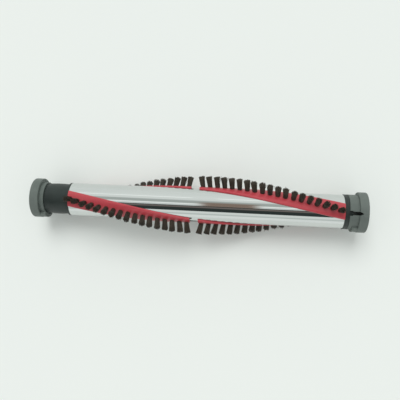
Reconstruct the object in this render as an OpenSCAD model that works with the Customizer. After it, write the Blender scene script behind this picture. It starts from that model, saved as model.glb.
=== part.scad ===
// Vacuum brush roll: a chromed steel tube with two helical channels, four slide-in brush strips
// with their tufts, a belt pulley at one end, a bearing plug at the other, and a through shaft
// that carries an end cap on each end.
// The roll lies along X with its drive end at -X. The origin is on the axis, at mid length.
// An azimuth is measured about X, from +Z (up) towards +Y.

/* [Tube] */
// Outer diameter of the steel tube
tube_d = 32; // [30:0.5:36]
// Wall thickness of the sheet steel
tube_wall = 0.9; // [0.7:0.1:1.2]
// Length of the tube
tube_len = 260; // [240:1:300]
// Length of the drive end that stands out of the tube, cap included
drive_end_len = 37.2; // [36:0.2:42]
// Length of the idle end that stands out of the tube, cap included
idle_end_len = 21.3; // [20.4:0.1:26]

/* [Rows] */
// Length in which the two brush rows make a full turn
row_lead = 514; // [450:2:720]
// Azimuth of the first row at the middle gap, in degrees
row_phase = 98; // [80:1:110]
// Width of the gap between the strips of one row
gap_w = 8; // [4:0.5:12]
// Place of the gap's middle, from mid length
gap_x = -1.65; // [-8:0.05:8]

/* [Channels] */
// Width of each channel's mouth
mouth_w = 6.8; // [6.2:0.1:7.4]
// Width inside each channel
channel_w = 13.1; // [12:0.1:14]
// Depth of each channel, from the inside of the tube's wall to its floor
channel_depth = 2.5; // [2.1:0.1:2.7]

/* [Brush strips] */
// Width of a strip's head, outside the tube
head_w = 15; // [12:0.5:17]
// How far a strip's head stands proud of the tube
head_proud = 1.6; // [1.2:0.1:2.2]
// Rounding of the head's long edges
head_edge = 0.4; // [0.2:0.1:0.6]
// Clearance between a strip and its channel, and under its head
strip_gap = 0.15; // [0.1:0.05:0.25]
// Clearance between a strip's foot and the channel's floor
foot_gap = 0.3; // [0.26:0.02:0.5]

/* [Tufts] */
// Distance from the axis to the tuft tips
tip_r = 27.5; // [24:0.5:30]
// Diameter of a tuft where it leaves its strip
tuft_d = 4.5; // [3.6:0.1:4.8]
// Diameter of a tuft at its tip
tuft_tip_d = 5.8; // [4.8:0.1:6.4]
// Depth of a tuft's hole in its strip
tuft_root = 3.2; // [2.4:0.1:3.6]
// Clearance round a tuft's root in its hole
tuft_gap = 0.05; // [0.02:0.01:0.1]
// Tufts on each drive side strip
drive_tufts = 17; // [12:1:18]
// Tufts on each idle side strip
idle_tufts = 19; // [12:1:20]
// From a strip's end at the gap to its first tuft
tuft_inset_gap = 2.9; // [2.6:0.1:4]
// From a strip's end at the pulley to its last tuft
tuft_inset_drive = 2.9; // [2.6:0.1:6]
// From a strip's end at the idle plug to its last tuft
tuft_inset_idle = 4.8; // [2.6:0.1:8]
// Lean of the tufts next to the gap on the drive side, towards the gap, in degrees
lean_gap_drive = 10; // [0:1:16]
// Lean of the tufts next to the gap on the idle side, towards the gap, in degrees
lean_gap_idle = 15; // [0:1:16]
// Lean of the outermost tufts, away from the gap, in degrees
lean_outer = 8; // [0:1:12]

/* [Drive pulley] */
// Largest radius of the crowned belt face
crown_r = 14.8; // [14:0.1:15.4]
// Height of the crown over the belt face's edges
crown_rise = 0.5; // [0.2:0.1:0.8]
// Thickness of the flange against the tube's end
flange_t = 1.9; // [1.2:0.1:3]
// Length of the plug that reaches into the tube, at both ends
plug_len = 14; // [10:1:15]
// Clearance between a plug's flats and the channels, which turn past them
plug_flat_gap = 1.2; // [1:0.1:2]
// Clearance between a plug and the tube
plug_gap = 0.05; // [0.02:0.01:0.1]

// Clearance between the shaft and the plugs that it passes
shaft_way = 1.2; // [0.8:0.1:1.6]
// Depth of the seal's pocket, outside the bearing
seal_pocket = 1; // [0.6:0.1:1.4]

/* [Idle plug] */
// How far the visible collar stands proud of the tube
collar_proud = 0.4; // [0.2:0.1:1]
// Length of the visible collar
collar_len = 4; // [3:0.1:5]
// Clearance between the hub and the cap's skirt round it
hub_gap = 0.6; // [0.4:0.1:1]

/* [Shaft] */
// Radius of the shaft at its bearings
shaft_r = 4; // [3.9:0.05:4.1]
// Radius of the shaft between its bearings
shaft_mid_r = 4.75; // [4.5:0.05:5.5]
// Distance from the axis to the flats in the caps
shaft_flat = 3.2; // [2.8:0.1:3.6]
// Depth that each shaft end reaches below its cap's outer face
shaft_depth = 3; // [2:0.1:4]
// Depth of the clip groove
clip_groove = 0.4; // [0.3:0.1:0.6]
// Thickness of a retaining clip
clip_t = 1; // [0.8:0.1:1.2]
// Outer radius of a retaining clip
clip_r = 6; // [5.6:0.1:6.2]

/* [Bearings] */
// Outer radius of a bearing
bearing_r = 11; // [10.8:0.1:11.2]
// Width of a bearing
bearing_w = 7; // [6.6:0.1:7.2]
// Radius of a ball
ball_r = 1.985; // [1.8:0.005:2]
// Balls in a bearing
ball_count = 7; // [6:1:7]
// Radius of the circle of ball centres
pitch_r = 7.5; // [7.4:0.05:7.6]
// Clearance round each ball
ball_gap = 0.05; // [0.03:0.01:0.08]
// Distance from the circle of ball centres to the shoulder of either ring
shoulder_h = 1.4; // [1.2:0.05:1.5]
// Thickness of the cage
cage_t = 1.2; // [0.8:0.1:1.4]
// Clearance between the cage and the shields
cage_gap = 0.35; // [0.2:0.05:0.5]
// Thickness of a shield
shield_t = 0.35; // [0.25:0.05:0.4]
// From a bearing's face to its shield
shield_inset = 0.35; // [0.2:0.05:0.5]
// Depth of a shield's seat in the outer ring's shoulder
shield_seat = 0.4; // [0.3:0.05:0.5]
// Clearance between a shield and the inner ring
shield_gap = 0.3; // [0.2:0.05:0.4]
// Clearance of every seated ring
seat_gap = 0.02; // [0.01:0.01:0.05]
// Distance from an end cap's outer face to its bearing
bearing_inset = 13.75; // [13.4:0.05:14]

/* [Dust seals] */
// Outer radius of a felt seal
felt_r = 11.8; // [11.4:0.1:12.2]
// Inner radius of a felt seal
felt_bore_r = 6.5; // [6.3:0.1:7]
// Thickness of a felt seal
felt_t = 1.6; // [1.4:0.1:1.8]

/* [End caps] */
// Outer radius of an end cap's rim
cap_r = 19; // [18:0.5:22]
// Width of the rim
rim_w = 8.3; // [7:0.1:9]
// Rounding of the rim's edges
rim_edge = 0.7; // [0.3:0.1:1.2]
// Thickness of the cap's closed web
web_t = 3.2; // [2.8:0.1:4]
// Depth of the round recess in the cap's outer face
recess_depth = 0.8; // [0.4:0.1:1.2]
// Radius of the round recess in the cap's outer face
recess_r = 15; // [12:0.5:16]
// Radius of the boss round the shaft
boss_r = 7.5; // [6.5:0.1:8]
// Thickness of the skirt's wall
skirt_t = 2.3; // [1.6:0.1:2.4]
// Outer radius of the drive cap's skirt
drive_skirt_r = 15.6; // [15:0.1:16]
// Running gap between a cap and the roll
run_gap = 0.4; // [0.3:0.05:0.6]
// Length of the key lug beyond the rim
lug_len = 4.8; // [3:0.1:5]
// Radial thickness of the key lug
lug_t = 2.9; // [2:0.1:3.2]
// Half of the angle that the key lug spans
lug_half_angle = 32; // [20:1:45]
// Width of the slot in the idle cap's skirt
slot_w = 3.4; // [2.5:0.1:4.5]
// Width of the slot's mouth
slot_mouth_w = 4.6; // [4:0.1:6]
// Length of the slot's mouth
slot_mouth_len = 2.6; // [1.5:0.1:4]
// Depth of the pointed notch in the idle cap's rim
notch_depth = 3; // [1:0.1:4]
// Length of the notch's straight sides, before it narrows
notch_side = 0.5; // [0.3:0.1:0.8]
// Width of the notch's blunt tip
notch_tip_w = 0.7; // [0.4:0.1:1.2]
// Azimuth of the slot and the notch
slot_azimuth = -4; // [-20:1:20]

/* [Hidden] */
$fn = 96;

// Sizes that follow from the driving ones
tube_r = tube_d / 2;
bore_r = tube_r - tube_wall;
channel_floor_r = bore_r - channel_depth;
half_len = (drive_end_len + tube_len + idle_end_len) / 2;
tube_x0 = drive_end_len - half_len;
tube_x1 = half_len - idle_end_len;
gap_x0 = gap_x - gap_w / 2;
gap_x1 = gap_x + gap_w / 2;
bearing_x = half_len - bearing_inset;
rim_x = half_len - rim_w;
face_x = bearing_x + seal_pocket;
head_r = tube_r + head_proud;
plug_flat = channel_floor_r - tube_wall - plug_flat_gap;
collar_r = tube_r + collar_proud;
hub_r = collar_r - skirt_t - hub_gap;
twist_rate = 360 / row_lead;
boss_x = bearing_x + felt_t + run_gap;
// Inner face of a shield, from its bearing's middle
shield_z = bearing_w / 2 - shield_inset - shield_t;
shield_seat_r = pitch_r + shoulder_h + shield_seat;
// Cuts run past the faces that they open by this much
over = 1;
// Twisted shapes turn by this many degrees in one slice
slice_turn = 4.5;

// Turns a shape drawn along +Z, radius along +X, so that it lies along the roll
module along_roll() { rotate([0, 90, 0]) children(); }

// Angle about the roll, in the drawing frame, of row 0 or row 1 at place x
function row_angle(x, row) = 180 - row_phase + twist_rate * (x - gap_x) + 180 * row;
function arc(r, a0, a1, n) =
    [for (i = [0:n]) let (a = a0 + (a1 - a0) * i / n) [r * cos(a), r * sin(a)]];
function flipped(points) = [for (i = [len(points) - 1:-1:0]) [points[i].x, -points[i].y]];
// Point at height y on the circle of radius r
function on_circle(r, y) = [sqrt(r * r - y * y), y];

// A flat profile swept along the roll from x0 to x1, turning with its row
module helical(x0, x1, row) {
    turn = twist_rate * (x1 - x0);
    translate([0, 0, x0]) rotate([0, 0, row_angle(x0, row)])
        linear_extrude(
            height = x1 - x0, twist = -turn, slices = ceil(turn / slice_turn), segments = 0, $fn = 0
        ) children();
}

// Sheet trough that holds a strip's foot, its walls ending inside the tube's wall
module trough_profile() {
    hw = channel_w / 2;
    join_r = bore_r + tube_wall / 2;
    half = [
        [channel_floor_r, hw],
        on_circle(join_r, hw),
        on_circle(join_r, hw + tube_wall),
        [channel_floor_r - tube_wall, hw + tube_wall]
    ];
    polygon(concat(half, flipped(half)));
}

module mouth_profile() {
    floor_x = on_circle(bore_r, mouth_w / 2).x - 2 * strip_gap;
    translate([floor_x, -mouth_w / 2]) square([tube_r + over - floor_x, mouth_w]);
}

module tube() {
    color("#c9cdcc") along_roll() difference() {
        union() {
            translate([0, 0, tube_x0]) difference() {
                cylinder(r = tube_r, h = tube_len);
                translate([0, 0, -over]) cylinder(r = bore_r, h = tube_len + 2 * over);
            }
            for (row = [0, 1]) helical(tube_x0, tube_x1, row) trough_profile();
        }
        for (row = [0, 1]) helical(tube_x0 - over, tube_x1 + over, row) mouth_profile();
    }
}

// Foot in the channel, neck in its mouth and a curved head that lies on the tube
module strip_profile() {
    foot_hw = channel_w / 2 - strip_gap;
    foot_r = bore_r - strip_gap;
    neck_hw = mouth_w / 2 - strip_gap;
    seat_r = tube_r + strip_gap;
    foot_a = asin(foot_hw / foot_r);
    neck_foot_a = asin(neck_hw / foot_r);
    neck_head_a = asin(neck_hw / seat_r);
    head_a = asin(head_w / 2 / head_r);
    top_a = head_a - head_edge / head_r * 180 / PI;
    half = concat(
        [[channel_floor_r + foot_gap, foot_hw]],
        arc(foot_r, foot_a, neck_foot_a, 1),
        arc(seat_r, neck_head_a, head_a, 3),
        [(head_r - head_edge) * [cos(head_a), sin(head_a)]],
        arc(head_r, top_a, top_a / 3, 2)
    );
    polygon(concat(half, [[head_r, 0]], flipped(half)));
}

// Where the tufts of a strip stand, counted from the gap
function tuft_x(side, i) = side < 0
    ? gap_x0 - tuft_inset_gap
        - i * (gap_x0 - tube_x0 - tuft_inset_gap - tuft_inset_drive) / (drive_tufts - 1)
    : gap_x1 + tuft_inset_gap
        + i * (tube_x1 - gap_x1 - tuft_inset_gap - tuft_inset_idle) / (idle_tufts - 1);
function tuft_total(side) = side < 0 ? drive_tufts : idle_tufts;
function lean_at_gap(side) = side < 0 ? lean_gap_drive : lean_gap_idle;
// Lean towards the outer end
function tuft_lean(side, i) =
    -lean_at_gap(side) + (lean_outer + lean_at_gap(side)) * i / (tuft_total(side) - 1);

// Sets children, drawn along +Z, on the strip's head at each of its tufts
module at_tufts(side, row) {
    for (i = [0:tuft_total(side) - 1])
        translate([0, 0, tuft_x(side, i)]) rotate([0, 0, row_angle(tuft_x(side, i), row)])
            translate([head_r, 0, 0])
                rotate([0, 90 - side * tuft_lean(side, i), 0]) children();
}

module strip(side, row) {
    x0 = side < 0 ? tube_x0 : gap_x1;
    x1 = side < 0 ? gap_x0 : tube_x1;
    color("#b5333f") along_roll() difference() {
        helical(x0, x1, row) strip_profile();
        at_tufts(side, row) translate([0, 0, -tuft_root - tuft_gap])
            cylinder(r = tuft_d / 2 + tuft_gap, h = tuft_root + tuft_gap + over, $fn = 32);
    }
}

// Bundles of bristles, cylindrical in the strip and flaring to their tips
module tufts(side, row) {
    color("#453d37") along_roll() at_tufts(side, row) {
        translate([0, 0, -tuft_root]) cylinder(d = tuft_d, h = tuft_root, $fn = 32);
        cylinder(d1 = tuft_d, d2 = tuft_tip_d, h = tip_r - head_r, $fn = 32);
    }
}

// Plug that sits in the tube between its two channels
module plug(x0, x1) {
    mid_angle = row_angle((x0 + x1) / 2, 0);
    translate([0, 0, x0]) rotate([0, 0, mid_angle]) linear_extrude(height = x1 - x0) intersection() {
        circle(r = bore_r - plug_gap);
        square([2 * plug_flat, 2 * bore_r], center = true);
    }
}

// Pocket for a bearing and its seal, and the shaft's way through, open towards +Z
module bearing_pocket(plug_x) {
    translate([0, 0, plug_x - over]) cylinder(r = shaft_mid_r + shaft_way, h = half_len - plug_x);
    translate([0, 0, bearing_x - bearing_w]) cylinder(r = bearing_r + seat_gap, h = half_len);
    translate([0, 0, bearing_x]) cylinder(r = felt_r + seat_gap, h = half_len);
}

// Belt face as half of a profile from the flange to the free edge, seen from the axis
module pulley_profile(z0, z1) {
    flange_z = z0 + flange_t;
    mid_z = (flange_z + z1) / 2;
    steps = 12;
    crown = [for (i = [0:steps]) let (s = 2 * i / steps - 1)
        [crown_r - crown_rise * s * s, mid_z + s * (z1 - flange_z) / 2]];
    polygon(concat([[0, z0], [tube_r, z0], [tube_r, flange_z]], crown, [[0, z1]]));
}

// Drawn for the +X end and mirrored to the drive end
module drive_pulley() {
    color("#2e3432") along_roll() mirror([0, 0, 1]) difference() {
        union() {
            rotate_extrude() pulley_profile(-tube_x0, face_x);
            mirror([0, 0, 1]) plug(tube_x0, tube_x0 + plug_len);
        }
        bearing_pocket(-tube_x0 - plug_len);
    }
}

module idle_plug() {
    color("#343b38") along_roll() difference() {
        union() {
            translate([0, 0, tube_x1]) cylinder(r = collar_r, h = collar_len);
            translate([0, 0, tube_x1]) cylinder(r = hub_r, h = face_x - tube_x1);
            plug(tube_x1 - plug_len, tube_x1);
        }
        bearing_pocket(tube_x1 - plug_len);
    }
}

// Turned shaft: thick between the bearings, grooved for the clips, flatted in the caps
module shaft() {
    end_x = half_len - shaft_depth;
    shoulder_x = bearing_x - bearing_w;
    color("#9da1a2") along_roll() difference() {
        union() {
            translate([0, 0, -end_x]) cylinder(r = shaft_r, h = 2 * end_x);
            translate([0, 0, -shoulder_x]) cylinder(r = shaft_mid_r, h = 2 * shoulder_x);
        }
        for (end = [0, 1]) mirror([0, 0, end]) {
            translate([0, 0, bearing_x]) difference() {
                cylinder(r = shaft_r + over, h = clip_t + 2 * seat_gap);
                cylinder(r = shaft_r - clip_groove, h = clip_t + 2 * seat_gap);
            }
            for (side = [0, 1]) mirror([side, 0, 0])
                translate([shaft_flat, -shaft_r, boss_x]) cube([shaft_r, 2 * shaft_r, half_len]);
        }
    }
}

// The rest is drawn at the +X end; end 1 mirrors it to the drive end
module at_end(end) { along_roll() mirror([0, 0, end]) children(); }

module raceway() { rotate_extrude() translate([pitch_r, 0]) circle(r = ball_r + ball_gap, $fn = 48); }

module outer_ring(end) {
    mid_x = bearing_x - bearing_w / 2;
    color("#b9bcbd") at_end(end) translate([0, 0, mid_x]) difference() {
        cylinder(r = bearing_r, h = bearing_w, center = true);
        cylinder(r = pitch_r + shoulder_h, h = bearing_w + over, center = true);
        for (face = [0, 1]) mirror([0, 0, face]) translate([0, 0, shield_z])
            cylinder(r = shield_seat_r, h = bearing_w);
        raceway();
    }
}

module inner_ring(end) {
    mid_x = bearing_x - bearing_w / 2;
    color("#b9bcbd") at_end(end) translate([0, 0, mid_x]) difference() {
        cylinder(r = pitch_r - shoulder_h, h = bearing_w, center = true);
        cylinder(r = shaft_r + seat_gap, h = bearing_w + over, center = true);
        raceway();
    }
}

module at_balls(end) {
    at_end(end) translate([0, 0, bearing_x - bearing_w / 2])
        for (i = [0:ball_count - 1])
            rotate([0, 0, 360 * i / ball_count]) translate([pitch_r, 0, 0]) children();
}

module balls(end) { color("#d0d2d2") at_balls(end) sphere(r = ball_r, $fn = 48); }

// Moulded ring with a round pocket drilled through it for each ball
module cage(end) {
    cage_w = 2 * (shield_z - cage_gap);
    color("#8a7a4c") difference() {
        at_end(end) translate([0, 0, bearing_x - bearing_w / 2]) difference() {
            cylinder(r = pitch_r + cage_t / 2, h = cage_w, center = true);
            cylinder(r = pitch_r - cage_t / 2, h = cage_w + over, center = true);
        }
        at_balls(end) rotate([0, 90, 0])
            cylinder(r = ball_r + 2 * ball_gap, h = cage_t + 2 * over, center = true, $fn = 48);
    }
}

// Thin steel washer pressed into the outer ring, face 0 outboard and face 1 inboard
module shield(end, face) {
    mid_x = bearing_x - bearing_w / 2;
    color("#a5a8a9") at_end(end) translate([0, 0, mid_x]) mirror([0, 0, face])
        translate([0, 0, shield_z]) difference() {
            cylinder(r = shield_seat_r - seat_gap, h = shield_t);
            translate([0, 0, -over])
                cylinder(r = pitch_r - shoulder_h + shield_gap, h = shield_t + 2 * over);
        }
}

// Split ring that snaps into the shaft's groove
module clip(end) {
    color("#5c5f60") at_end(end) translate([0, 0, bearing_x + seat_gap]) difference() {
        cylinder(r = clip_r, h = clip_t);
        translate([0, 0, -over]) cylinder(r = shaft_r - clip_groove + seat_gap, h = clip_t + 2 * over);
        translate([0, -shaft_r / 2, -over]) cube([clip_r + over, shaft_r, clip_t + 2 * over]);
    }
}

module felt_seal(end) {
    color("#77736a") at_end(end) translate([0, 0, bearing_x + seat_gap]) difference() {
        cylinder(r = felt_r, h = felt_t);
        translate([0, 0, -over]) cylinder(r = felt_bore_r, h = felt_t + 2 * over);
    }
}

// Turned profile of a cap with rounded rim edges, its skirt reaching in to skirt_x
module cap_profile(skirt_x, skirt_r) {
    rounding = [for (i = [0:4]) let (a = 90 * i / 4)
        [cap_r - rim_edge + rim_edge * cos(a), half_len - rim_edge + rim_edge * sin(a)]];
    inner_rounding = [for (i = [0:4]) let (a = -90 + 90 * i / 4)
        [cap_r - rim_edge + rim_edge * cos(a), rim_x + rim_edge + rim_edge * sin(a)]];
    web_x = half_len - web_t;
    polygon(concat(
        [[skirt_r - skirt_t, web_x], [skirt_r - skirt_t, skirt_x], [skirt_r, skirt_x], [skirt_r, rim_x]],
        inner_rounding,
        rounding,
        [[recess_r, half_len], [recess_r, half_len - recess_depth], [0, half_len - recess_depth],
         [0, boss_x], [boss_r, boss_x], [boss_r, web_x]]
    ));
}

// Arched key that stands out of the rim's inner face, towards -Y
module key_lug() {
    translate([0, 0, rim_x - lug_len]) intersection() {
        difference() {
            cylinder(r = cap_r - rim_edge / 2, h = lug_len + rim_w / 2);
            translate([0, 0, -over])
                cylinder(r = cap_r - rim_edge / 2 - lug_t, h = rim_w + lug_len + over);
        }
        linear_extrude(height = lug_len + rim_w / 2)
            polygon(concat([[0, 0]], arc(2 * cap_r, -90 - lug_half_angle, -90 + lug_half_angle, 4)));
    }
}

// Seat of the shaft's flatted end
module shaft_seat() {
    seat_len = half_len - shaft_depth - boss_x + seat_gap;
    translate([0, 0, boss_x - over]) linear_extrude(height = seat_len + over) intersection() {
        circle(r = shaft_r + seat_gap);
        square([2 * (shaft_flat + seat_gap), 4 * shaft_r], center = true);
    }
}

module drive_cap() {
    color("#646e69") at_end(1) difference() {
        union() {
            rotate_extrude() cap_profile(face_x + run_gap, drive_skirt_r);
            key_lug();
        }
        shaft_seat();
    }
}

// The slot runs through the skirt into a pointed notch in the rim
module skirt_slot(skirt_x) {
    mouth_x = skirt_x + slot_mouth_len;
    half = [
        [-skirt_x + over, slot_mouth_w / 2], [-mouth_x, slot_mouth_w / 2], [-mouth_x, slot_w / 2],
        [-rim_x - notch_side, slot_w / 2], [-rim_x - notch_depth, notch_tip_w / 2]
    ];
    rotate([0, 0, 180 - slot_azimuth]) translate([hub_r, 0, 0]) rotate([0, 90, 0])
        linear_extrude(height = cap_r - hub_r + over) polygon(concat(half, flipped(half)));
}

module idle_cap() {
    skirt_x = tube_x1 + collar_len + run_gap;
    color("#5d6662") at_end(0) difference() {
        union() {
            rotate_extrude() cap_profile(skirt_x, collar_r);
            key_lug();
        }
        shaft_seat();
        skirt_slot(skirt_x);
    }
}

tube();
strip(-1, 0);  // strip_a_drive
strip(1, 0);  // strip_a_idle
strip(-1, 1);  // strip_b_drive
strip(1, 1);  // strip_b_idle
tufts(-1, 0);  // tufts_a_drive
tufts(1, 0);  // tufts_a_idle
tufts(-1, 1);  // tufts_b_drive
tufts(1, 1);  // tufts_b_idle
drive_pulley();
idle_plug();
shaft();
outer_ring(1);  // drive_bearing_outer_ring
inner_ring(1);  // drive_bearing_inner_ring
balls(1);  // drive_bearing_balls
cage(1);  // drive_bearing_cage
shield(1, 0);  // drive_bearing_outboard_shield
shield(1, 1);  // drive_bearing_inboard_shield
outer_ring(0);  // idle_bearing_outer_ring
inner_ring(0);  // idle_bearing_inner_ring
balls(0);  // idle_bearing_balls
cage(0);  // idle_bearing_cage
shield(0, 0);  // idle_bearing_outboard_shield
shield(0, 1);  // idle_bearing_inboard_shield
clip(1);  // drive_clip
clip(0);  // idle_clip
felt_seal(1);  // drive_felt_seal
felt_seal(0);  // idle_felt_seal
drive_cap();
idle_cap();
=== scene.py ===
"""Vacuum brush roll: a chromed steel tube with helical rows of slide-in brush strips, a belt
pulley at one end, a bearing plug at the other, and a keyed cap on each end of its shaft.
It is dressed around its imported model, and every length is in metres.
"""

import math

import bpy
import numpy as np
from mathutils import Matrix, Vector


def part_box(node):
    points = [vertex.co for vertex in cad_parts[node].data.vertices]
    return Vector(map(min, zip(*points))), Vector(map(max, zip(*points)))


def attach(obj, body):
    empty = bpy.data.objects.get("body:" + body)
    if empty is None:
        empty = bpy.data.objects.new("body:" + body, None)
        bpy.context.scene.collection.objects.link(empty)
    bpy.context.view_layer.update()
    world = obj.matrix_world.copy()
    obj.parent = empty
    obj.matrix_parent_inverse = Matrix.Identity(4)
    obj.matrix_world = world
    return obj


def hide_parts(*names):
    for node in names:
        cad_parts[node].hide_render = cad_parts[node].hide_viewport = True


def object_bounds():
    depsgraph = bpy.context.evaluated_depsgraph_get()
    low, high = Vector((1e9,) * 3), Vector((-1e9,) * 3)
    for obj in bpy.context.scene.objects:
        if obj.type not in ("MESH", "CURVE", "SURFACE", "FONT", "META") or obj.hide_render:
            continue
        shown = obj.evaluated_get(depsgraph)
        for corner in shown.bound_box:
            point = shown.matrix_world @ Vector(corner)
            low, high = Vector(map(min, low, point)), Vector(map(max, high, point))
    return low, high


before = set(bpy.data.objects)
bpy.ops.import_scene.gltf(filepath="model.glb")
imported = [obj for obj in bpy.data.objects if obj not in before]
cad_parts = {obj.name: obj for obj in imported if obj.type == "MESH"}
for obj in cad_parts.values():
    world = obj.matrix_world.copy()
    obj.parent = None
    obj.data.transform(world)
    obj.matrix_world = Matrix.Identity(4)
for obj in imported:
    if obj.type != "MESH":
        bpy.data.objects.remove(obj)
cad_low, cad_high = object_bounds()


# Camera. It looks straight down on the roll from half a metre up, a little to the right of
# its middle, and is turned so that the idle end lies slightly lower in the frame.
camera_place = Vector((0.040835, 0.0, 0.49104))
camera_turns = (("Y", 4.41034), ("X", 0.56604), ("Z", 2.66723))
camera_lens = 45.88

camera_data = bpy.data.cameras.new("camera")
camera_data.lens = camera_lens
camera_data.sensor_width = 36.0
camera_data.clip_start = 0.01
camera = bpy.data.objects.new("camera", camera_data)
camera_pose = Matrix.Translation(camera_place)
for axis, degrees in camera_turns:
    camera_pose = camera_pose @ Matrix.Rotation(math.radians(degrees), 4, axis)
camera.matrix_world = camera_pose
bpy.context.collection.objects.link(camera)
bpy.context.scene.camera = camera
bpy.context.scene.view_settings.view_transform = "Standard"


# Floor. One smooth sheet of pale photographic paper, lying under the lowest tuft tips and
# wide enough that its edge never comes into view.
floor_half_width = 3.0
floor_colour = (0.845, 0.885, 0.853)


def new_material(name, base, roughness, metallic=0.0):
    """A material with its Principled shader, its links and a maker of its nodes."""
    material = bpy.data.materials.new(name)
    material.use_nodes = True
    tree = material.node_tree
    shader = tree.nodes["Principled BSDF"]
    shader.inputs["Base Color"].default_value = (*base, 1.0)
    shader.inputs["Roughness"].default_value = roughness
    shader.inputs["Metallic"].default_value = metallic
    return material, tree, shader


def link(tree, source, target):
    tree.links.new(source, target)


floor_mesh = bpy.data.meshes.new("paper_floor")
floor_mesh.from_pydata(
    [
        (-floor_half_width, -floor_half_width, cad_low[2]),
        (floor_half_width, -floor_half_width, cad_low[2]),
        (floor_half_width, floor_half_width, cad_low[2]),
        (-floor_half_width, floor_half_width, cad_low[2]),
    ],
    [],
    [(0, 1, 2, 3)],
)
floor = bpy.data.objects.new("paper_floor", floor_mesh)
bpy.context.collection.objects.link(floor)
paper, paper_tree, paper_shader = new_material("pale_paper", floor_colour, 0.9)
paper_shader.inputs["Specular IOR Level"].default_value = 0.0
paper_fibre = paper_tree.nodes.new("ShaderNodeTexNoise")
paper_fibre.inputs["Scale"].default_value = 3.0
paper_fibre.inputs["Detail"].default_value = 2.0
paper_tone = paper_tree.nodes.new("ShaderNodeMix")
paper_tone.data_type = "RGBA"
paper_tone.inputs["A"].default_value = (0.838, 0.880, 0.852, 1.0)
paper_tone.inputs["B"].default_value = (0.852, 0.890, 0.854, 1.0)
paper_coordinates = paper_tree.nodes.new("ShaderNodeTexCoord")
link(paper_tree, paper_coordinates.outputs["Object"], paper_fibre.inputs["Vector"])
link(paper_tree, paper_fibre.outputs["Fac"], paper_tone.inputs["Factor"])
link(paper_tree, paper_tone.outputs["Result"], paper_shader.inputs["Base Color"])
floor_mesh.materials.append(paper)


# Light. A bright room fills every shadow, and one soft lamp behind and left of the roll gives
# it a side. Bright metal mirrors the room itself: a pale ceiling, lamp tubes and a dark beam.
room_fill = 0.63
room_tint = (0.985, 1.0, 0.992)
backdrop_colour = (0.86, 0.895, 0.865)
lamp_strength = 1.35
lamp_spread = 34.0
lamp_tilt = 33.0
lamp_bearing = 100.0
beam_strength = 0.85

world = bpy.data.worlds.new("studio")
bpy.context.scene.world = world
world.use_nodes = True
room = world.node_tree
room.nodes.clear()


def room_math(operation, a, b=None, clamp=False):
    """One Math node of the room; a and b are sockets or numbers."""
    node = room.nodes.new("ShaderNodeMath")
    node.operation = operation
    node.use_clamp = clamp
    for socket, value in zip(node.inputs, (a, b)):
        if value is None:
            continue
        if isinstance(value, bpy.types.NodeSocket):
            link(room, value, socket)
        else:
            socket.default_value = value
    return node.outputs[0]


def room_band(angle, low, high, soft):
    """1 where angle lies between low and high, 0 outside, with soft edges on both sides."""
    middle, half = (low + high) / 2, (high - low) / 2
    away = room_math("ABSOLUTE", room_math("SUBTRACT", angle, middle))
    edge = room.nodes.new("ShaderNodeMapRange")
    edge.interpolation_type = "SMOOTHSTEP"
    edge.inputs["From Min"].default_value = half - soft / 2
    edge.inputs["From Max"].default_value = half + soft / 2
    edge.inputs["To Min"].default_value = 1.0
    edge.inputs["To Max"].default_value = 0.0
    link(room, away, edge.inputs["Value"])
    return edge.outputs["Result"]


def room_paint(under, colour, mask):
    """colour laid over under wherever mask says so."""
    mix = room.nodes.new("ShaderNodeMix")
    mix.data_type = "RGBA"
    link(room, mask, mix.inputs["Factor"])
    link(room, under, mix.inputs["A"])
    mix.inputs["B"].default_value = (*colour, 1.0)
    return mix.outputs["Result"]


sight = room.nodes.new("ShaderNodeTexCoord")
sight_parts = room.nodes.new("ShaderNodeSeparateXYZ")
link(room, sight.outputs["Generated"], sight_parts.inputs["Vector"])
along = sight_parts.outputs["X"]
across = room_math(
    "MULTIPLY",
    room_math("ARCTAN2", sight_parts.outputs["Y"], sight_parts.outputs["Z"]),
    180 / math.pi,
)

ceiling = room.nodes.new("ShaderNodeRGB")
ceiling.outputs[0].default_value = (0.86, 0.905, 0.88, 1.0)
seen = ceiling.outputs[0]
for low, high, soft, colour in (
    (40.0, 64.0, 14.0, (0.90, 0.945, 0.92)),  # light wall behind the lamp
    (9.0, 30.0, 12.0, (0.49, 0.53, 0.51)),  # grey ceiling panel
    (-7.0, 3.5, 3.0, (0.76, 0.80, 0.79)),  # panel's lit edge
    (-70.0, -60.0, 8.0, (0.62, 0.67, 0.65)),  # fold of the side curtain
    (-130.0, -72.0, 6.0, (0.93, 0.97, 0.95)),  # low white wall
):
    seen = room_paint(seen, colour, room_band(across, low, high, soft))
far_tube = room_math(
    "SUBTRACT",
    room_band(across, 46.2, 49.8, 2.0),
    room_band(along, -0.092, -0.045, 0.012),
    clamp=True,
)
seen = room_paint(seen, (1.22, 1.26, 1.24), far_tube)
near_tube = room_band(across, 3.6, 8.4, 3.0)
seen = room_paint(seen, (1.16, 1.20, 1.18), near_tube)
ceiling_rose = room_math(
    "MULTIPLY", room_band(across, -20.0, 19.0, 12.0), room_band(along, -0.075, 0.036, 0.03)
)
seen = room_paint(seen, (0.29, 0.215, 0.175), ceiling_rose)
seen = room_paint(seen, (0.036, 0.046, 0.044), room_band(across, -43.5, -6.5, 2.5))
beam_face = room_math("MULTIPLY", room_band(across, -20.0, -11.0, 6.0), beam_strength)
seen = room_paint(seen, (0.24, 0.205, 0.19), beam_face)

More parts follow.
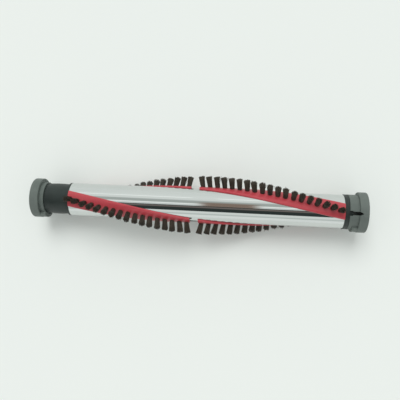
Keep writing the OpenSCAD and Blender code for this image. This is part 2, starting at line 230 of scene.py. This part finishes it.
rays = room.nodes.new("ShaderNodeLightPath")
mirrored = room_math(
    "MAXIMUM", rays.outputs["Is Glossy Ray"], rays.outputs["Is Transmission Ray"]
)
fill = room.nodes.new("ShaderNodeRGB")
fill.outputs[0].default_value = (*(room_fill * part for part in room_tint), 1.0)
lit = room.nodes.new("ShaderNodeMix")
lit.data_type = "RGBA"
link(room, mirrored, lit.inputs["Factor"])
link(room, fill.outputs[0], lit.inputs["A"])
link(room, seen, lit.inputs["B"])
room_background = room.nodes.new("ShaderNodeBackground")
link(
    room,
    room_paint(lit.outputs["Result"], backdrop_colour, rays.outputs["Is Camera Ray"]),
    room_background.inputs["Color"],
)
room_output = room.nodes.new("ShaderNodeOutputWorld")
link(room, room_background.outputs[0], room_output.inputs["Surface"])

lamp_data = bpy.data.lights.new("soft_lamp", "SUN")
lamp_data.energy = lamp_strength
lamp_data.angle = math.radians(lamp_spread)
lamp = bpy.data.objects.new("soft_lamp", lamp_data)
lamp.matrix_world = Matrix.Rotation(math.radians(lamp_bearing), 4, "Z") @ Matrix.Rotation(
    math.radians(lamp_tilt), 4, "Y"
)
lamp.visible_glossy = False
bpy.context.collection.objects.link(lamp)


# Tube. Steel sheet rolled with two helical channels, then polished and chromed. The plating is
# bright, with faint ripples from the rolls and a few wiped smears.
def effect_group(name, inputs, outputs):
    """A shader node group with its named sockets, its input node and its output node."""
    group = bpy.data.node_groups.new(name, "ShaderNodeTree")
    for label, kind, value in inputs:
        socket = group.interface.new_socket(name=label, in_out="INPUT", socket_type=kind)
        socket.default_value = value
    for label, kind in outputs:
        group.interface.new_socket(name=label, in_out="OUTPUT", socket_type=kind)
    return group, group.nodes.new("NodeGroupInput"), group.nodes.new("NodeGroupOutput")


def group_noise(group, vector, scale, detail=3.0):
    """A noise texture in a group, or in a material's own tree; scale is a socket or a number."""
    noise = group.nodes.new("ShaderNodeTexNoise")
    noise.inputs["Detail"].default_value = detail
    if isinstance(scale, bpy.types.NodeSocket):
        link(group, scale, noise.inputs["Scale"])
    else:
        noise.inputs["Scale"].default_value = scale
    link(group, vector, noise.inputs["Vector"])
    return noise.outputs["Fac"]


def group_stretch(group, stretch):
    """Object coordinates scaled by stretch, so that a texture runs long one way."""
    place = group.nodes.new("ShaderNodeTexCoord")
    mapping = group.nodes.new("ShaderNodeMapping")
    mapping.inputs["Scale"].default_value = stretch
    link(group, place.outputs["Object"], mapping.inputs["Vector"])
    return mapping.outputs["Vector"]


def group_range(group, value, low, high, start=0.3, end=0.7):
    """value, between start and end, turned to a range from low to high."""
    node = group.nodes.new("ShaderNodeMapRange")
    node.inputs["From Min"].default_value = start
    node.inputs["From Max"].default_value = end
    for label, bound in (("To Min", low), ("To Max", high)):
        if isinstance(bound, bpy.types.NodeSocket):
            link(group, bound, node.inputs[label])
        else:
            node.inputs[label].default_value = bound
    link(group, value, node.inputs["Value"])
    return node.outputs["Result"]


def add_bump(tree, shader, height, distance, strength=1.0):
    """A Bump node between a height and the shader's Normal."""
    bump = tree.nodes.new("ShaderNodeBump")
    bump.inputs["Distance"].default_value = distance
    bump.inputs["Strength"].default_value = strength
    link(tree, height, bump.inputs["Height"])
    link(tree, bump.outputs["Normal"], shader.inputs["Normal"])


def tone_between(tree, factor, dark, light, target):
    """A colour that runs from dark to light with factor, linked to target."""
    mix = tree.nodes.new("ShaderNodeMix")
    mix.data_type = "RGBA"
    mix.inputs["A"].default_value = (*dark, 1.0)
    mix.inputs["B"].default_value = (*light, 1.0)
    link(tree, factor, mix.inputs["Factor"])
    link(tree, mix.outputs["Result"], target)


def dress(node, material):
    """Gives a CAD node its material in every slot."""
    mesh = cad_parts[node].data
    mesh.materials.clear()
    mesh.materials.append(material)


wiped_smears, smears_in, smears_out = effect_group(
    "wiped_smears",
    (("Clean", "NodeSocketFloat", 0.05), ("Smeared", "NodeSocketFloat", 0.12)),
    (("Roughness", "NodeSocketFloat"), ("Mask", "NodeSocketFloat")),
)
smear_noise = group_noise(wiped_smears, group_stretch(wiped_smears, (18.0, 90.0, 90.0)), 1.0, 4.0)
smear_mask = group_range(wiped_smears, smear_noise, 0.0, 1.0, 0.48, 0.72)
link(wiped_smears, smear_mask, smears_out.inputs["Mask"])
link(
    wiped_smears,
    group_range(
        wiped_smears, smear_mask, smears_in.outputs["Clean"], smears_in.outputs["Smeared"], 0.0, 1.0
    ),
    smears_out.inputs["Roughness"],
)


def add_smears(tree, shader, clean, smeared):
    """Places the wiped smears in a material and gives back their mask."""
    smears = tree.nodes.new("ShaderNodeGroup")
    smears.node_tree = wiped_smears
    smears.inputs["Clean"].default_value = clean
    smears.inputs["Smeared"].default_value = smeared
    link(tree, smears.outputs["Roughness"], shader.inputs["Roughness"])
    return smears.outputs["Mask"]


chrome, chrome_tree, chrome_shader = new_material("bright_chrome", (0.64, 0.66, 0.65), 0.06, 1.0)
chrome_mask = add_smears(chrome_tree, chrome_shader, 0.045, 0.11)
tone_between(
    chrome_tree, chrome_mask, (0.655, 0.675, 0.665), (0.625, 0.648, 0.64),
    chrome_shader.inputs["Base Color"],
)
roll_ripple = group_noise(chrome_tree, group_stretch(chrome_tree, (14.0, 60.0, 60.0)), 1.0, 1.0)
add_bump(chrome_tree, chrome_shader, roll_ripple, 0.00007)
dress("tube", chrome)


# Brush strips. Red plastic extruded with a foot that fits the channel and a low curved head
# that lies on the tube, twisted as it is slid in.
row_lead = 0.514
row_phase = 98.0
gap_middle = -0.00165
strip_nodes = {
    "strip_a_drive": 0.0,
    "strip_a_idle": 0.0,
    "strip_b_drive": 180.0,
    "strip_b_idle": 180.0,
}
head_r = 0.0176
head_half = 0.0075
head_edge_r = 0.0004
seat_r = 0.01615
neck_half = 0.00325
foot_half = 0.0064
foot_top_r = 0.01495
foot_low = 0.0129
station_gap = 0.0016
underside_steps = 5
edge_steps = 5
edge_first_turn = -5.0
edge_sweep = 75.0
edge_lift = 0.3
crown_steps = 7
crown_start = 0.94
strip_crease = 38.0


def row_azimuth(x, row_turn):
    """Angle of a row about the roll at place x, from straight up towards +Y, in radians."""
    return math.radians(row_phase - row_turn - 360 * (x - gap_middle) / row_lead)


def on_round(radius, half):
    """Point of a strip's section at this distance from its middle, on a round of radius."""
    return half, math.sqrt(radius * radius - half * half)


def strip_section():
    """Section of a strip as (sideways, outwards) points, counter-clockwise from its foot."""
    right = [(foot_half, foot_low), on_round(foot_top_r, foot_half)]
    right += [on_round(foot_top_r, neck_half), on_round(seat_r, neck_half)]
    right += [
        on_round(seat_r, neck_half + (head_half - neck_half) * i / underside_steps)
        for i in range(1, underside_steps + 1)
    ]
    edge_x, edge_z = on_round(head_r - head_edge_r, head_half)
    edge_middle = (edge_x - head_edge_r, edge_z - head_edge_r * edge_lift)
    for i in range(edge_steps + 1):
        turn = math.radians(edge_first_turn + edge_sweep * i / edge_steps)
        right.append((
            edge_middle[0] + head_edge_r * math.cos(turn),
            edge_middle[1] + head_edge_r * math.sin(turn) + head_edge_r * edge_lift,
        ))
    top_start = right[-1][0] * crown_start
    right += [on_round(head_r, top_start * (1 - i / crown_steps)) for i in range(crown_steps)]
    left = [(-x, z) for x, z in reversed(right)]
    return right + [on_round(head_r, 0.0)] + left


def swept_strip(name, x0, x1, row_turn):
    """A strip's whole section carried along its row, closed at both ends."""
    section = strip_section()
    steps = math.ceil((x1 - x0) / station_gap)
    points, faces = [], []
    for step in range(steps + 1):
        x = x0 + (x1 - x0) * step / steps
        turn = row_azimuth(x, row_turn)
        for side, out in section:
            points.append((
                x,
                out * math.sin(turn) + side * math.cos(turn),
                out * math.cos(turn) - side * math.sin(turn),
            ))
    count = len(section)
    for step in range(steps):
        for i in range(count):
            a, b = step * count + i, step * count + (i + 1) % count
            faces.append((a, a + count, b + count, b))
    faces.append(tuple(range(count)))
    faces.append(tuple(reversed(range(steps * count, (steps + 1) * count))))
    mesh = bpy.data.meshes.new(name)
    mesh.from_pydata(points, [], faces)
    mesh.polygons.foreach_set("use_smooth", [True] * len(mesh.polygons))
    mesh.set_sharp_from_angle(angle=math.radians(strip_crease))
    mesh.validate()
    return mesh


red_plastic, red_tree, red_shader = new_material("red_extrusion", (0.50, 0.06, 0.075), 0.33)
red_mottle = group_noise(red_tree, group_stretch(red_tree, (60.0, 240.0, 240.0)), 1.0, 3.0)
tone_between(
    red_tree, red_mottle, (0.44, 0.045, 0.062), (0.56, 0.072, 0.085),
    red_shader.inputs["Base Color"],
)
add_smears(red_tree, red_shader, 0.28, 0.42)
die_lines = group_noise(red_tree, group_stretch(red_tree, (120.0, 2600.0, 2600.0)), 1.0, 2.0)
add_bump(red_tree, red_shader, die_lines, 0.00002)

for node, row_turn in strip_nodes.items():
    low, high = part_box(node)
    strip_mesh = swept_strip("red_" + node, low[0], high[0], row_turn)
    strip_mesh.materials.append(red_plastic)
    strip = bpy.data.objects.new("red_" + node, strip_mesh)
    bpy.context.collection.objects.link(strip)
    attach(strip, "roll")
    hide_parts(node)


# Tufts. Bundles of crimped nylon bristles pressed into the strips and trimmed all to one round,
# so that each tuft is tight at its foot and opens a little towards its cut tips.
tuft_nodes = ("tufts_a_drive", "tufts_a_idle", "tufts_b_drive", "tufts_b_idle")
bristles_in_tuft = 190
bristle_r = 0.00015
bristle_rings = 4
trim_r = 0.0275
trim_scatter = 0.00022
sunk_foot = 0.0012
tuft_root_r = 0.00212
tuft_tip_r = 0.0029
tip_disc_depth = 0.0022
tip_opening = 1.5
place_jitter = 0.12
tuft_lean = 1.6
bristle_splay = 0.00016
bristle_bow = 0.00012
stray_share = 0.035
stray_splay = 6.0
golden_turn = math.pi * (3 - math.sqrt(5))
strand_corners = 4
tip_crease = 100.0


def tuft_axes(node):
    """Foot on the strip's head and tip of every tuft, read off the node's separate solids."""
    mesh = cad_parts[node].data
    points = np.empty(len(mesh.vertices) * 3)
    mesh.vertices.foreach_get("co", points)
    points = points.reshape(-1, 3)
    rounded, merged = np.unique(np.round(points, 6), axis=0, return_inverse=True)
    merged = merged.reshape(-1)
    parent = list(range(len(rounded)))

    def top_of(i):
        while parent[i] != i:
            parent[i] = parent[parent[i]]
            i = parent[i]
        return i

    for edge in mesh.edges:
        a, b = (top_of(merged[i]) for i in edge.vertices)
        parent[a] = b
    solids = {}
    for i in range(len(rounded)):
        solids.setdefault(top_of(i), []).append(i)
    axes = []
    for members in solids.values():
        solid = rounded[members]
        out = solid.mean(axis=0) * (0.0, 1.0, 1.0)
        out /= np.linalg.norm(out)
        height = solid @ out
        tip = solid[height > height.max() - tip_disc_depth].mean(axis=0)
        root = solid[height < height.min() + tip_disc_depth].mean(axis=0)
        axis = (tip - root) / np.linalg.norm(tip - root)
        reach = (head_r - root @ out) / (axis @ out)
        axes.append((root + axis * reach, axis, out))
    return sorted(axes, key=lambda tuft: tuft[0][0])


def tuft_bristles(foot, axis, out, dice):
    """Points of every bristle of one tuft, ring by ring, and a tone for each bristle."""
    along_x = np.array((1.0, 0.0, 0.0))
    side = np.cross(axis, along_x)
    side /= np.linalg.norm(side)
    front = np.cross(side, axis)
    number = np.arange(bristles_in_tuft)
    place_r = np.sqrt((number + 0.5) / bristles_in_tuft)
    place_turn = number * golden_turn + dice.uniform(0, 2 * math.pi)
    place_turn = place_turn + dice.normal(0, place_jitter, bristles_in_tuft)
    spread_x = place_r * np.cos(place_turn)
    spread_y = place_r * np.sin(place_turn)
    lean = dice.normal(0, math.radians(tuft_lean), 2)
    stray = dice.random(bristles_in_tuft) < stray_share
    splay = dice.normal(0, bristle_splay, (bristles_in_tuft, 2))
    splay[stray] *= stray_splay
    bow = dice.normal(0, bristle_bow, (bristles_in_tuft, 2))
    full = (trim_r - head_r) / (axis @ out) * np.ones(bristles_in_tuft)
    full += dice.normal(0, trim_scatter, bristles_in_tuft)
    full -= (tuft_tip_r * place_r) ** 2 / (2 * trim_r) * 0.5
    rings = []
    for ring in range(bristle_rings):
        share = ring / (bristle_rings - 1)
        up = -sunk_foot + (full + sunk_foot) * share
        open_r = tuft_root_r + (tuft_tip_r - tuft_root_r) * share**tip_opening
        arch = 4 * share * (1 - share)
        a = spread_x * open_r + splay[:, 0] * share**2 + bow[:, 0] * arch + lean[0] * up
        b = spread_y * open_r + splay[:, 1] * share**2 + bow[:, 1] * arch + lean[1] * up
        rings.append(foot + np.outer(up, axis) + np.outer(a, front) + np.outer(b, side))
    return np.stack(rings, axis=1), front, side, dice.random(bristles_in_tuft)


def bristle_mesh(name, node, dice):
    """Square-sided strands with closed tips, for all the tufts of one strip."""
    points, faces, tones = [], [], []
    corners = strand_corners
    start = 0
    ring_faces = []
    for ring in range(bristle_rings - 1):
        for i in range(corners):
            a, b = ring * corners + i, ring * corners + (i + 1) % corners
            ring_faces.append((a, b, b + corners, a + corners))
    last = (bristle_rings - 1) * corners
    ring_faces.append((last, last + 1, last + 2, last + 3))
    pattern = np.array(ring_faces)
    strand_points = bristle_rings * corners
    for foot, axis, out in tuft_axes(node):
        centres, front, side, tone = tuft_bristles(foot, axis, out, dice)
        turns = dice.uniform(0, math.pi / 2, bristles_in_tuft)
        block = np.empty((bristles_in_tuft, bristle_rings, corners, 3))
        for corner in range(corners):
            turn = turns + corner * math.pi / 2
            offset = np.outer(np.cos(turn), front) + np.outer(np.sin(turn), side)
            block[:, :, corner, :] = centres + bristle_r * offset[:, None, :]
        points.append(block.reshape(-1, 3))
        starts = start + np.arange(bristles_in_tuft) * strand_points
        faces.append((starts[:, None, None] + pattern[None]).reshape(-1, corners))
        tones.append(np.repeat(tone, strand_points))
        start += bristles_in_tuft * strand_points
    points = np.concatenate(points)
    faces = np.concatenate(faces)
    mesh = bpy.data.meshes.new(name)
    mesh.from_pydata(points.tolist(), [], faces.tolist())
    tone_layer = mesh.attributes.new("bristle_tone", "FLOAT", "POINT")
    tone_layer.data.foreach_set("value", np.concatenate(tones))
    mesh.polygons.foreach_set("use_smooth", [True] * len(mesh.polygons))
    mesh.set_sharp_from_angle(angle=math.radians(tip_crease))
    return mesh


nylon, nylon_tree, nylon_shader = new_material("nylon_bristle", (0.05, 0.04, 0.03), 0.5)
nylon_shader.inputs["Specular IOR Level"].default_value = 0.35
bristle_tone = nylon_tree.nodes.new("ShaderNodeAttribute")
bristle_tone.attribute_name = "bristle_tone"
bristle_dust = group_noise(nylon_tree, group_stretch(nylon_tree, (1.0, 1.0, 1.0)), 260.0, 3.0)
bristle_mix = nylon_tree.nodes.new("ShaderNodeMath")
bristle_mix.operation = "MULTIPLY_ADD"
bristle_mix.inputs[1].default_value = 0.65
link(nylon_tree, bristle_tone.outputs["Fac"], bristle_mix.inputs[0])
link(
    nylon_tree, group_range(nylon_tree, bristle_dust, 0.0, 0.35), bristle_mix.inputs[2]
)
tone_between(
    nylon_tree, bristle_mix.outputs[0], (0.030, 0.024, 0.019), (0.088, 0.074, 0.055),
    nylon_shader.inputs["Base Color"],
)
link(
    nylon_tree,
    group_range(nylon_tree, bristle_mix.outputs[0], 0.42, 0.6, 0.0, 1.0),
    nylon_shader.inputs["Roughness"],
)

for seed, node in enumerate(tuft_nodes):
    tuft_mesh = bristle_mesh("bristles_" + node, node, np.random.default_rng(40 + seed))
    tuft_mesh.materials.append(nylon)
    tufts = bpy.data.objects.new("bristles_" + node, tuft_mesh)
    bpy.context.collection.objects.link(tufts)
    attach(tufts, "roll")
    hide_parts(node)


# Pulley and idle plug. Black glass-filled nylon mouldings pressed into the tube's ends. Both
# keep a fine grain, with random patches of slightly different tone and gloss.
moulded_grain, grain_in, grain_out = effect_group(
    "moulded_grain",
    (("Grain Scale", "NodeSocketFloat", 2600.0), ("Patch Scale", "NodeSocketFloat", 90.0)),
    (("Height", "NodeSocketFloat"), ("Patches", "NodeSocketFloat")),
)
grain_place = group_stretch(moulded_grain, (1.0, 1.0, 1.0))
link(
    moulded_grain,
    group_noise(moulded_grain, grain_place, grain_in.outputs["Grain Scale"], 2.0),
    grain_out.inputs["Height"],
)
link(
    moulded_grain,
    group_range(
        moulded_grain,
        group_noise(moulded_grain, grain_place, grain_in.outputs["Patch Scale"], 3.0),
        0.0, 1.0,
    ),
    grain_out.inputs["Patches"],
)


def moulded_plastic(name, dark, light, smooth, rough, grain_scale, grain_depth):
    """A moulded plastic with grain, uneven tone and uneven gloss."""
    material, tree, shader = new_material(name, light, rough)
    grain = tree.nodes.new("ShaderNodeGroup")
    grain.node_tree = moulded_grain
    grain.inputs["Grain Scale"].default_value = grain_scale
    tone_between(tree, grain.outputs["Patches"], dark, light, shader.inputs["Base Color"])
    link(
        tree,
        group_range(tree, grain.outputs["Patches"], smooth, rough, 0.0, 1.0),
        shader.inputs["Roughness"],
    )
    add_bump(tree, shader, grain.outputs["Height"], grain_depth)
    return material


black_plastic = moulded_plastic(
    "black_moulding", (0.013, 0.020, 0.018), (0.021, 0.031, 0.028), 0.42, 0.55, 2400.0, 0.00006
)
dress("drive_pulley", black_plastic)
dress("idle_plug", black_plastic)


# Shaft, bearings and clips. A turned steel shaft runs through the roll in two shielded ball
# bearings, and a blued spring clip in its groove holds it against each inner ring.
def turned_metal(name, dark, light, clean, smeared, ring_scale):
    """A machined metal with fine tool rings round the roll's axis."""
    material, tree, shader = new_material(name, light, clean, 1.0)
    mask = add_smears(tree, shader, clean, smeared)
    tone_between(tree, mask, dark, light, shader.inputs["Base Color"])
    rings = group_noise(tree, group_stretch(tree, (ring_scale, 40.0, 40.0)), 1.0, 2.0)
    add_bump(tree, shader, rings, 0.000015)
    return material


turned_steel = turned_metal(
    "turned_steel", (0.46, 0.47, 0.48), (0.56, 0.57, 0.58), 0.22, 0.36, 4200.0
)
ground_steel = turned_metal(
    "ground_steel", (0.56, 0.57, 0.58), (0.64, 0.65, 0.66), 0.12, 0.24, 5200.0
)
blued_steel = turned_metal(
    "blued_spring_steel", (0.06, 0.065, 0.08), (0.12, 0.125, 0.14), 0.3, 0.45, 1500.0
)
cage_nylon = moulded_plastic(
    "cage_nylon", (0.36, 0.29, 0.13), (0.48, 0.39, 0.19), 0.4, 0.5, 1800.0, 0.00003
)
dress("shaft", turned_steel)
for end in ("drive", "idle"):
    dress(end + "_clip", blued_steel)
    dress(end + "_bearing_cage", cage_nylon)
    for part in ("outer_ring", "inner_ring", "balls", "outboard_shield", "inboard_shield"):
        dress(end + "_bearing_" + part, ground_steel)


# Felt seals. Washers punched from pressed grey wool felt, laid in the pocket outside each
# bearing to keep hair and dust out of it.
felt, felt_tree, felt_shader = new_material("grey_felt", (0.28, 0.26, 0.23), 0.95)
felt_shader.inputs["Sheen Weight"].default_value = 0.4
felt_shader.inputs["Sheen Roughness"].default_value = 0.5
felt_fibres = group_noise(felt_tree, group_stretch(felt_tree, (1.0, 1.0, 1.0)), 1900.0, 6.0)
tone_between(
    felt_tree, felt_fibres, (0.17, 0.16, 0.14), (0.38, 0.36, 0.32),
    felt_shader.inputs["Base Color"],
)
add_bump(felt_tree, felt_shader, felt_fibres, 0.00025)
dress("drive_felt_seal", felt)
dress("idle_felt_seal", felt)


# End caps. Dark grey plastic mouldings with a keyed lug that stops them turning in the nozzle.
# Their rims are faintly grained and a little paler where they have been handled.
grey_plastic = moulded_plastic(
    "grey_moulding", (0.105, 0.128, 0.116), (0.138, 0.163, 0.148), 0.48, 0.6, 2200.0, 0.00005
)
dress("drive_cap", grey_plastic)
dress("idle_cap", grey_plastic)
